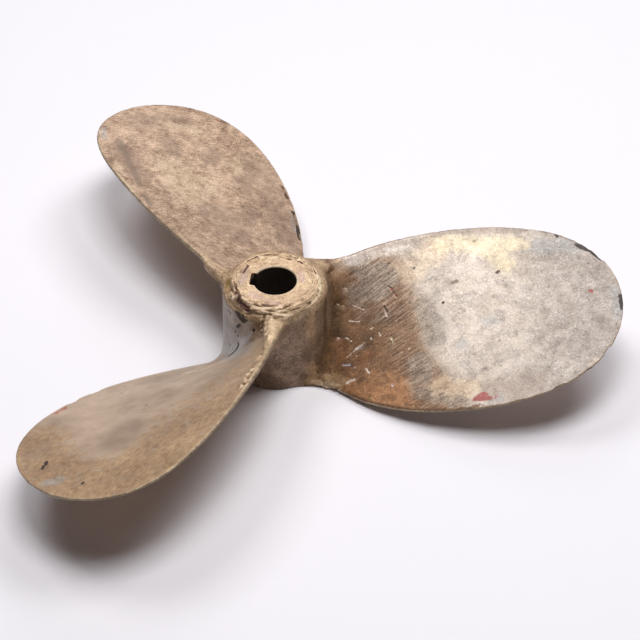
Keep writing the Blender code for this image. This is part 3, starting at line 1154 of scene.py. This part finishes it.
def hub_rise(points):
    """How far the shoulder rises: a pocket and a lip by the second blade's edge, and a broken corner."""
    radius, azimuth = radius_of(points) / MM, np.degrees(azimuth_of(points))
    crumbs = wander(points / CRUMB_SIZE)
    rise = np.zeros(len(points))
    for form in HUB_FORMS:
        aside = np.abs((azimuth - form.azimuth + 180) % 360 - 180) / form.spread
        ring = smooth(form.near, form.near + 1.2, radius + 0.5 * crumbs)
        ring *= 1 - smooth(form.far - 1.2, form.far, radius)
        rise += form.rise * MM * (1 - smooth(0.55, 1, aside)) * ring * (1 + 0.35 * crumbs)
    return rise * smooth(HUB_AFT - 12 * MM, HUB_AFT - 5 * MM, points[:, 2])


def broken_skin(points, masks):
    """The crust's ridges round the shaft and the crumbs elsewhere, from -1 in the gaps to 1."""
    ridges = masks.pop("crust") * wander(round_shaft(points) / CRUST_SIZES)
    crumbs = masks.pop("crumbs") * wander(points / CRUMB_SIZE)
    return np.clip(CRUST_CONTRAST * (ridges + 0.8 * crumbs), -1, 1)


def worn(points, place, normal, depth, push, relief):
    """The points after waves, grooves, ragged edges and nicks, and the broken skin."""
    on_blade = smooth(*WORN_FROM, place[:, 1])
    inside, radius_step, along_step = from_outline(place)
    rag = RAG_DEPTH * np.clip(wander(points / RAG_SIZE) + 0.2, 0, 1)
    push = (push + rag * (1 - smooth(0, RAG_BAND, inside))) * on_blade
    moved = place + np.stack((0 * push, push * radius_step, push * along_step, 0 * push), axis=1)
    points = np.where(push[:, None] > 0, from_chart(moved), points)
    wave = WAVE_HEIGHT * on_blade * wander(points / WAVE_SIZE)
    rise = hub_rise(points)
    points = points + normal * (wave + CRUST_HEIGHT * relief - depth)[:, None]
    points[:, 2] += rise
    return points


points = coordinates(casting)
place = chart(points)
masks, depth, push = mark_masks(points, place)
relief = broken_skin(points, masks)
# The crust's pale tint with a painted highlight on its ridges, and dirt with painted shade in its gaps
masks["crest_tint_and_highlight"], masks["gap_dirt_and_shade"] = np.clip(relief, 0, 1), np.clip(-relief, 0, 1)
points = worn(points, place, triplets(casting.vertex_normals, "vector"), depth, push, relief)
casting.vertices.foreach_set("co", points.astype(np.float32).ravel())
print("deepest groove:", round(float(depth.max()) / MM, 2), "mm")

# %% [markdown]
# ## Zones
#
# The three blades have weathered differently. Each zone below is a soft mask over a blade or the hub,
# from 0 to 1, which the material later tears up with noise. The chart goes with it, so that scratches
# and streaks can follow the blade. Three zones also hold painted shade: the right blade's root by the
# hub, along with its dark oxide, the right blade's darkening towards its tip, and the inside of the bore.


# %% Zones of the finish
CLUSTER_SIZE = 6 * MM
PITTED_ANYWHERE = 0.03
PITTED = {"brown": 0.5, "root": 0.6, "wall": 0.6, "shoulder": 0.4, "turned": 0.12, "edge": 0.4, "bore": -1}


def blade_zones(place):
    """Soft masks on the aft faces of the right, upper and lower blade, and on their rims."""
    blade, radius, along, out = place.T
    inside = from_outline(place)[0] / MM
    radius, along = radius / MM, along / MM
    aft = smooth(-0.5, 0.3, out / MM)
    whole = [np.isclose(blade, number) * smooth(31.5, 35, radius) for number in (1, 2, 3)]
    right, upper, lower = (mask * aft for mask in whole)
    high = smooth(-2, 2, along)
    band = high * (1 - smooth(3, 11, inside))
    border = radius + 0.3 * along - 86 - 0.5 * np.maximum(0, -15 - along)
    past_border = right * smooth(-5, 20, border)
    polish = along - 36 + 0.0052 * np.maximum(0, radius - 69) ** 2 + 1.6 * np.maximum(0, radius - 135)
    thumbed = smooth(0.5, 1.3, np.hypot((radius - 148) / 24, (along + 5) / 28))
    rim_width = 1.0 + 4.5 * (1 - smooth(35, 110, radius))
    return {
        "pale": right * smooth(-15, 15, border),
        "stain": 0.45 * past_border,
        "haze": 0.5 * past_border,
        "tide": 0.45 * past_border,
        # Painted shade: the right blade darkens towards its tip, where the lamps' reflection fades
        "painted_tip_shade": right * smooth(115, 195, radius),
        "brown": right * (1 - smooth(-15, 15, border)) * (1 - band),
        # Dark oxide at the right blade's root, and painted shade in the corner where it meets the hub
        "root": whole[0] * (1 - smooth(-5, 5, radius - 40 - 10 * smooth(15, 40, -along))),
        "scuffs": 0.32 * right * smooth(-5, 10, along) * smooth(42, 52, radius)
                  * (1 - smooth(-5, 25, border)),
        "scrapes": 0.34 * right * smooth(-30, -10, border) * (1 - smooth(-5, 15, border)),
        "fouled": right * (1 - high) * (1 - smooth(1.0, 3.2, inside))
                  * smooth(52, 66, radius) * (1 - smooth(128, 150, radius)),
        "band": right * band * smooth(40, 52, radius) * (1 - smooth(80, 100, radius)),
        "amber": right * smooth(25, 45, -along) * smooth(42, 60, radius) * (1 - smooth(85, 110, radius)),
        "streaky": upper,
        "golden": lower * smooth(-30, 26, polish) * thumbed,
        "sheen": lower,
        "rim": (lower + 0.6 * upper) * high * (1 - smooth(0.6, 1.4, inside / rim_width)),
        "edge": smooth(44, 54, radius) * (1 - smooth(0.2, 1.1, inside)),
    }


def hub_zones(points, place):
    """Soft masks on the hub: turned face, shoulder, wall, grey left side, and painted shade in the bore."""
    radius, height = place[:, 1] / MM, (points[:, 2] - HUB_AFT) / MM
    azimuth = np.degrees(azimuth_of(points))
    on_hub = 1 - smooth(35, 39, radius)
    face = (1 - smooth(25.0, 26.0, radius)) * smooth(-1.0, -0.4, height)
    top = on_hub * smooth(-8, -4.5, height)
    wall = on_hub * (1 - smooth(-8, -4.5, height)) * (radius > 20)
    left = 1 - smooth(25, 36, np.abs(azimuth + 139))
    return {
        "wall": wall,
        "greywall": wall * left,
        "shoulder": top * (1 - face),
        "turned": face,
        "cracks": 0.35 * face * smooth(18, 22, radius),
        "lips": (1 - smooth(13.1, 13.4, radius)) * smooth(-0.7, -0.4, height),
        # Painted shade: the inside of the deep bore is coloured near-black
        "bore": (radius < 20) * (1 - smooth(-0.75, -0.55, height)) * (height > -57.5),
    }


def store(mesh, name, values):
    """Writes one number, or one vector, for each point as a named attribute."""
    kind, field = ("FLOAT_VECTOR", "vector") if values.ndim == 2 else ("FLOAT", "value")
    mesh.attributes.new(name, kind, "POINT").data.foreach_set(field, values.astype(np.float32).ravel())


masks |= blade_zones(place) | hub_zones(points, place)
pitted = PITTED_ANYWHERE + sum(share * masks[name] for name, share in PITTED.items())
masks["pitted"] = np.clip(pitted, 0, 1) * smooth(-0.25, 0.35, wander(points / CLUSTER_SIZE))
for name, values in masks.items():
    store(casting, name, values)
store(casting, "chart", place[:, 1:] / MM)
print("masks:", ", ".join(masks))

# %% [markdown]
# ## Casting pits
#
# Gas and sand leave small round pits, and salt water opens more. They repeat by the hundred, so a
# Geometry Nodes tree makes them: it scatters seeded points over the skin, more where the casting is
# rough, gives each a size, and presses a bowl round each into the mesh. The bowls are real shape, and
# the attribute that they leave lets the material darken their floors.

# %% Pits
PITS = {
    "Distance Apart": 1.1 * MM,
    "Most Per Square Metre": 130000.0,
    "Smallest Pit": 0.35 * MM,
    "Largest Pit": 1.3 * MM,
    "Depth": 0.32,
    "Seed": SEED,
    "Metal": bronze,
}


def pit_tree():
    """Points scattered by the pitted mask, and a bowl pressed into the skin round each."""
    tree, given, end = new_tree("casting_pits", PITS)
    pitted = add(tree, "GeometryNodeInputNamedAttribute", {"Name": "pitted"}).outputs[0]
    scattered = add(tree, "GeometryNodeDistributePointsOnFaces", {
        "Mesh": given["Geometry"], "Distance Min": given["Distance Apart"],
        "Density Max": given["Most Per Square Metre"], "Density Factor": pitted, "Seed": given["Seed"],
    }, distribute_method="POISSON")
    size = {"Min": given["Smallest Pit"], "Max": given["Largest Pit"], "Seed": given["Seed"]}
    size = add(tree, "FunctionNodeRandomValue", size, data_type="FLOAT")
    sized = {"Geometry": scattered, "Name": "size", "Value": size}
    sized = add(tree, "GeometryNodeStoreNamedAttribute", sized, domain="POINT", data_type="FLOAT")
    here = add(tree, "GeometryNodeInputPosition")
    nearest = add(tree, "GeometryNodeSampleNearest", {"Geometry": sized}, domain="POINT")
    found = {"Geometry": sized, "Value": here, "Index": nearest}
    centre = add(tree, "GeometryNodeSampleIndex", found, data_type="FLOAT_VECTOR", domain="POINT")
    its_size = add(tree, "GeometryNodeInputNamedAttribute", {"Name": "size"}).outputs[0]
    found = {"Geometry": sized, "Value": its_size, "Index": nearest}
    reach = add(tree, "GeometryNodeSampleIndex", found, data_type="FLOAT", domain="POINT")
    apart = add(tree, VECTORS, here, centre, operation="DISTANCE").outputs["Value"]
    share = add(tree, "DIVIDE", apart, reach)
    bowl = add(tree, RANGE, share, 0.15, 1.0, 1.0, 0.0, interpolation_type="SMOOTHSTEP")
    depth = add(tree, "MULTIPLY", add(tree, "MULTIPLY", bowl, reach), given["Depth"])
    normal = add(tree, "GeometryNodeInputNormal")
    down = add(tree, "MULTIPLY", depth, -1.0)
    push = add(tree, VECTORS, {"Vector": normal, "Scale": down}, operation="SCALE")
    pressed = add(tree, "GeometryNodeSetPosition", {"Geometry": given["Geometry"], "Offset": push})
    marked = {"Geometry": pressed, "Name": "pit", "Value": bowl}
    marked = add(tree, "GeometryNodeStoreNamedAttribute", marked, domain="POINT", data_type="FLOAT")
    whole = add(tree, "GeometryNodeRealizeInstances", {"Geometry": marked})
    add_metal = {"Geometry": whole, "Material": given["Metal"]}
    tree.links.new(add(tree, "GeometryNodeSetMaterial", add_metal).outputs[0], end.inputs[0])
    return tree


propeller = grown("bronze_propeller", pit_tree(), PITS, casting)
measure("pitted casting", propeller.data)

# %% [markdown]
# ## Weathered cast bronze
#
# Old manganese bronze that was cast in sand and used at sea. The bare metal hardly shows: a thin dull
# skin of oxide and dirt covers it, mostly matt, with a soft sheen, so the skin is a poor mirror and only
# fresh scratches and rubbed edges are bright metal. The colours are laid over each other as they came
# about: bare bronze, oxide, scale and stains, and the newest damage on top. Each layer has a dark and a
# light colour, which a shared pattern mixes, and a second one may tear the layer's border. Some layers
# also carry painted shade: at the right blade's root and towards its tip, in the bore, in the corner
# beside that root, along the hub's foot, beside gouges and in the crust's gaps. Others carry painted
# highlights: on the crust's ridges and along the lower blade's edge by its root.

# %% The patterns of the skin
SCRATCH_SLANT = radians(37.5)


def noise_at(tree, place, size, detail=3.0, spread=0.17, roughness=0.6):
    """Noise with features of this size, stretched so that it runs from 0 to 1."""
    made = add(tree, NOISE, {"Vector": place, "Scale": 1 / size, "Detail": detail, "Roughness": roughness})
    return add(tree, RANGE, made, 0.5 - spread, 0.5 + spread)


def weighted(tree, parts, total=0.0):
    """The sum of each pattern times its weight, held between 0 and 1."""
    for part, weight in parts:
        total = add(tree, "MULTIPLY_ADD", part, weight, total)
    return add(tree, RANGE, total, 0.0, 1.0)


def blended(tree, parts, flecks=()):
    """Patterns summed about one half, so that their weights set the contrast and not the mean."""
    return weighted(tree, (*parts, *flecks), 0.5 - sum(weight for part, weight in parts) / 2)


def chart_vector(tree, turn, long, short):
    """The blade's chart turned by an angle and squeezed, so that noise on it runs in lines."""
    here = add(tree, "ShaderNodeAttribute", attribute_name="chart").outputs["Vector"]
    turned = add(tree, "ShaderNodeVectorRotate", {"Vector": here, "Angle": -turn}, rotation_type="Z_AXIS")
    return add(tree, VECTORS, turned, (1 / long, 1 / short, 0.2), operation="MULTIPLY")


def ring_vector(tree, place, across, around):
    """Radius and height in steps of one size, and the way round the shaft in steps of another."""
    level = add(tree, VECTORS, place, (1.0, 1.0, 0.0), operation="MULTIPLY")
    radius = add(tree, VECTORS, level, operation="LENGTH").outputs["Value"]
    outward = add(tree, VECTORS, level, operation="NORMALIZE")
    outward = add(tree, VECTORS, {"Vector": outward, "Scale": FACE_RADIUS / around}, operation="SCALE")
    height = add(tree, "ShaderNodeSeparateXYZ", place).outputs["Z"]
    depth = add(tree, "MULTIPLY", add(tree, "SUBTRACT", radius, height), 1 / across)
    rings = add(tree, "ShaderNodeCombineXYZ", 0.0, 0.0, depth)
    return add(tree, VECTORS, outward, rings, operation="ADD")


def skin_patterns(tree):
    """The shared patterns, by name, each from 0 to 1."""
    place = add(tree, "ShaderNodeTexCoord").outputs["Object"]
    broad = noise_at(tree, place, 34 * MM, 2.0)
    patch = noise_at(tree, place, 10 * MM, 4.0)
    blotch = noise_at(tree, place, 3.6 * MM)
    grain = noise_at(tree, place, 7 * MM, 6.0, 0.15, 0.78)
    grit = add(tree, NOISE, {"Vector": place, "Scale": 1 / (1.2 * MM), "Detail": 2.0})
    grit = add(tree, "MULTIPLY_ADD", patch, 0.1, grit)
    light_flecks = add(tree, RANGE, grit, 0.64, 0.72)
    dark_flecks = add(tree, RANGE, grit, 0.44, 0.36)
    cells = add(tree, NOISE, {"Vector": place, "Scale": 1 / (8 * MM), "Detail": 3.0})
    rims = add(tree, "COMPARE", cells, 0.57, 0.012)
    cells = add(tree, RANGE, cells, 0.56, 0.58)
    streak = noise_at(tree, chart_vector(tree, 0.0, 0.9, 4.5), 1.0)
    scratch = noise_at(tree, chart_vector(tree, SCRATCH_SLANT, 11.0, 0.5), 1.0, 3.0, 0.15)
    ring = noise_at(tree, ring_vector(tree, place, 0.9 * MM, 5 * MM), 1.0)
    dust = noise_at(tree, place, 0.75 * MM, 1.0, 0.13)
    dust = add(tree, "MULTIPLY", add(tree, "SUBTRACT", dust, 0.5), patch)
    dust = add(tree, "MULTIPLY_ADD", dust, 1.7, 0.5)
    brushed = noise_at(tree, chart_vector(tree, 0.0, 5.0, 1.1), 1.0)
    flecks = ((light_flecks, 0.42), (dark_flecks, -0.35))
    few_flecks = ((light_flecks, 0.3), (dark_flecks, -0.2))
    return {
        "patch": patch, "blotch": blotch, "grain": grain, "cells": cells, "rims": rims,
        "scratch": scratch, "ring": ring, "dust": dust,
        "mottle": blended(tree, ((broad, 0.28), (patch, 0.26), (grain, 0.5), (dust, 0.25)), flecks),
        "streaky": blended(tree, ((broad, 0.35), (streak, 0.45), (grain, 0.6), (dust, 0.3)), few_flecks),
        "scratched": blended(tree, ((patch, 0.2), (scratch, 0.3), (grain, 0.5), (dust, 0.3)), flecks),
        "brushed": blended(tree, ((broad, 0.25), (brushed, 0.3), (blotch, 0.25), (grain, 0.25),
                                  (dust, 0.12))),
        "ringed": blended(tree, ((patch, 0.2), (ring, 0.45), (grain, 0.5), (dust, 0.3)), flecks),
        "smooth": blended(tree, ((broad, 0.55), (patch, 0.3), (grain, 0.04))),
    }


# %% [markdown]
# Zones blend softly into each other, because weather has no borders. Marks are torn: their masks are
# cut near one half, so that paint and stains end at a ragged line.

# %% The layers of colour
Layer = namedtuple("Layer", "name dark light torn soft pattern tear most",
                   defaults=("mottle", "grain", 1.0))

LAYERS = (
    Layer("streaky", "7A5C46", "E6C6AA", 0.3, 0.5, pattern="streaky"),
    Layer("sheen", "97806A", "CDB49C", 0.3, 0.5, pattern="smooth", tear="patch"),
    Layer("golden", "6E4F36", "D4B28C", 1.5, 0.4, pattern="brushed"),
    Layer("pale", "A89A8E", "E6D8C8", 0.6, 0.4),
    Layer("haze", "9E8D86", "D0C1BA", 1.4, 0.35, tear="patch", most=0.5),
    # Painted shade towards the right blade's tip
    Layer("painted_tip_shade", "857970", "CEC1B7", 0.3, 0.5, tear="patch"),
    Layer("stain", "857870", "B0A49B", 1.0, 0.2, tear="cells", most=0.3),
    Layer("tide", "5F534B", "857970", 1.0, 0.2, tear="rims", most=0.35),
    Layer("wall", "58412F", "B0937A", 0.6, 0.4, tear="blotch"),
    Layer("greywall", "8A7E77", "D2C8C1", 0.6, 0.4, pattern="smooth", tear="blotch"),
    Layer("brown", "4C3222", "9E7654", 0.4, 0.5, pattern="scratched"),
    Layer("amber", "683E20", "C08E64", 0.8, 0.5),
    # Dark oxide and painted shade at the right blade's root
    Layer("root", "3E2A1D", "90683F", 0.6, 0.5),
    Layer("band", "AE9C90", "F4E8DF", 0.5, 0.4, pattern="streaky"),
    Layer("shoulder", "755940", "CEB08C", 0.5, 0.4, pattern="ringed", tear="blotch"),
    Layer("turned", "A88668", "F6D8B2", 0.1, 0.3, pattern="ringed", tear="blotch"),
    Layer("shade", "6B5647", "A48C7C", 0.8, 0.5, pattern="smooth", tear="patch", most=0.42),
    Layer("smoke", "544A40", "B0A092", 0.8, 0.5, pattern="scratched", tear="patch", most=0.65),
    Layer("rust", "5A2E18", "A06842", 0.8, 0.5, most=0.5),
    Layer("ochre", "96704A", "E2C498", 1.0, 0.5, most=0.5),
    Layer("rose", "9C7A6E", "DCBEB4", 1.0, 0.5, most=0.6),
    # Dark dirt, and painted shade in the corner by the right blade's root and at the hub's foot
    Layer("dirt_and_shade", "38271B", "775A40", 0.8, 0.5, most=0.7),
    # Pale frosty patches, and a painted highlight on the lower blade
    Layer("frost_and_highlight", "BC9C7C", "F4DDBE", 1.2, 0.5, most=0.5),
    Layer("scuffs", "B09A88", "E2D2C4", 2.0, 0.3, tear="scratch", most=0.22),
    Layer("scrapes", "B89A7E", "E8D4BE", 2.0, 0.35, tear="scratch", most=0.28),
    Layer("fouled", "3E281B", "8C6446", 1.4, 0.3, most=0.9),
    Layer("cracks", "5A3C28", "8A6648", 1.5, 0.2, tear="ring", most=0.7),
    Layer("cream", "D2BC98", "F6E8C6", 1.2, 0.5, most=0.65),
    # Dirt and painted shade in the crust's gaps
    Layer("gap_dirt_and_shade", "34220F", "70502F", 0.7, 0.25, most=0.95),
    # The crust's pale tint and a painted highlight on its ridges
    Layer("crest_tint_and_highlight", "D0B090", "F6E2C6", 0.5, 0.35, most=0.8),
    Layer("olive", "7C6238", "B0925C", 0.5, 0.4, pattern="smooth", tear="blotch"),
    Layer("slate", "868482", "B6B7B8", 1.0, 0.5, most=0.5),
    Layer("smear", "786454", "9A8674", 0.6, 0.5, pattern="smooth", most=0.7),
    Layer("rim", "A58663", "DFC3A0", 1.0, 0.4, pattern="streaky"),
    Layer("edge", "6A5644", "BCA68A", 0.6, 0.3, tear="blotch"),
    Layer("pit", "3F2E21", "75603F", 0.0, 0.45, tear="blotch", most=0.8),
    Layer("umber", "2E170F", "643426", 2.6, 0.25, most=0.95),
    # Dark chips and spots, and painted shadow beside a few gouges
    Layer("dark", "1C1512", "40332B", 1.4, 0.3, most=0.95),
    Layer("red", "84302E", "BC6258", 1.8, 0.25, most=0.9),
    Layer("lilac", "A89AA4", "DAD0DC", 1.0, 0.3, tear="blotch", most=0.8),
    Layer("bare", "B29884", "F0E0D2", 2.0, 0.3, most=0.9),
    # Painted shade inside the bore
    Layer("bore", "261C16", "43342A", 0.0, 0.3, tear="blotch"),
    Layer("lips", "C2A788", "EAD8C0", 0.2, 0.2, tear="blotch"),
)
SKIN_DARK = "7E6450"
SKIN_LIGHT = "C9AE90"


def layered_colour(tree, patterns):
    """The skin's colour with every layer laid over it, and how much of each layer shows."""
    skin = {"Factor": patterns["mottle"], "A": linear(SKIN_DARK), "B": linear(SKIN_LIGHT)}
    colour = add(tree, MIX, skin, data_type="RGBA").outputs[2]
    shown = {}
    for layer in LAYERS:
        mask = add(tree, "ShaderNodeAttribute", attribute_name=layer.name).outputs["Fac"]
        torn = add(tree, "MULTIPLY_ADD", add(tree, "SUBTRACT", patterns[layer.tear], 0.5), layer.torn, mask)
        torn = add(tree, "MULTIPLY", torn, add(tree, RANGE, mask, 0.0, 0.15))
        limits = (0.5 - layer.soft, 0.5 + layer.soft, 0.0, layer.most)
        shown[layer.name] = add(tree, RANGE, torn, *limits, interpolation_type="SMOOTHSTEP")
        own = {"Factor": patterns[layer.pattern], "A": linear(layer.dark), "B": linear(layer.light)}
        own = add(tree, MIX, own, data_type="RGBA").outputs[2]
        laid = {"Factor": shown[layer.name], "A": colour, "B": own}
        colour = add(tree, MIX, laid, data_type="RGBA").outputs[2]
    return colour, shown


print(len(LAYERS), "layers")


# %% Bronze
BUMP_DEPTH = 0.16 * MM


def finish_bronze(material):
    """Fills the metal with its nodes."""
    material.use_nodes = True
    tree = material.node_tree
    shader = tree.nodes["Principled BSDF"]
    patterns = skin_patterns(tree)
    colour, shown = layered_colour(tree, patterns)
    tree.links.new(colour, shader.inputs["Base Color"])
    metal = weighted(tree, ((shown["lips"], 0.3), (shown["bare"], -0.3), (shown["red"], -0.3),
                            (shown["shoulder"], -0.15), (shown["bore"], -0.3)), 0.3)
    tree.links.new(metal.outputs[0], shader.inputs["Metallic"])
    dull = weighted(tree, ((patterns["mottle"], -0.1), (shown["sheen"], -0.06), (shown["shoulder"], 0.12),
                           (shown["bore"], 0.2), (shown["pit"], 0.1)), 0.58)
    tree.links.new(dull.outputs[0], shader.inputs["Roughness"])
    lines = add(tree, "MULTIPLY", patterns["scratched"], shown["brown"])
    turned = add(tree, "MAXIMUM", shown["shoulder"], shown["turned"])
    rings = add(tree, "MULTIPLY", patterns["ringed"], turned)
    height = weighted(tree, ((patterns["blotch"], 0.15), (patterns["grain"], 0.4), (patterns["dust"], 0.15),
                             (lines, 0.3), (rings, 0.4)))
    bump = add(tree, "ShaderNodeBump", {"Strength": 0.7, "Distance": BUMP_DEPTH, "Height": height})
    tree.links.new(bump.outputs[0], shader.inputs["Normal"])


finish_bronze(bronze)
print(len(bronze.node_tree.nodes), "nodes in the bronze")

# %% The finished piece
SLIVER = 0.002 * MM

# The booleans leave a few edges with no length
with edited(propeller.data) as body:
    bmesh.ops.dissolve_degenerate(body, dist=SLIVER, edges=body.edges)
    bmesh.ops.triangulate(body, faces=body.faces)
measure("finished piece", propeller.data)
propeller.data.shade_smooth()
propeller.data.set_sharp_from_angle(angle=radians(40))
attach(propeller, "root")
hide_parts(CASTING)
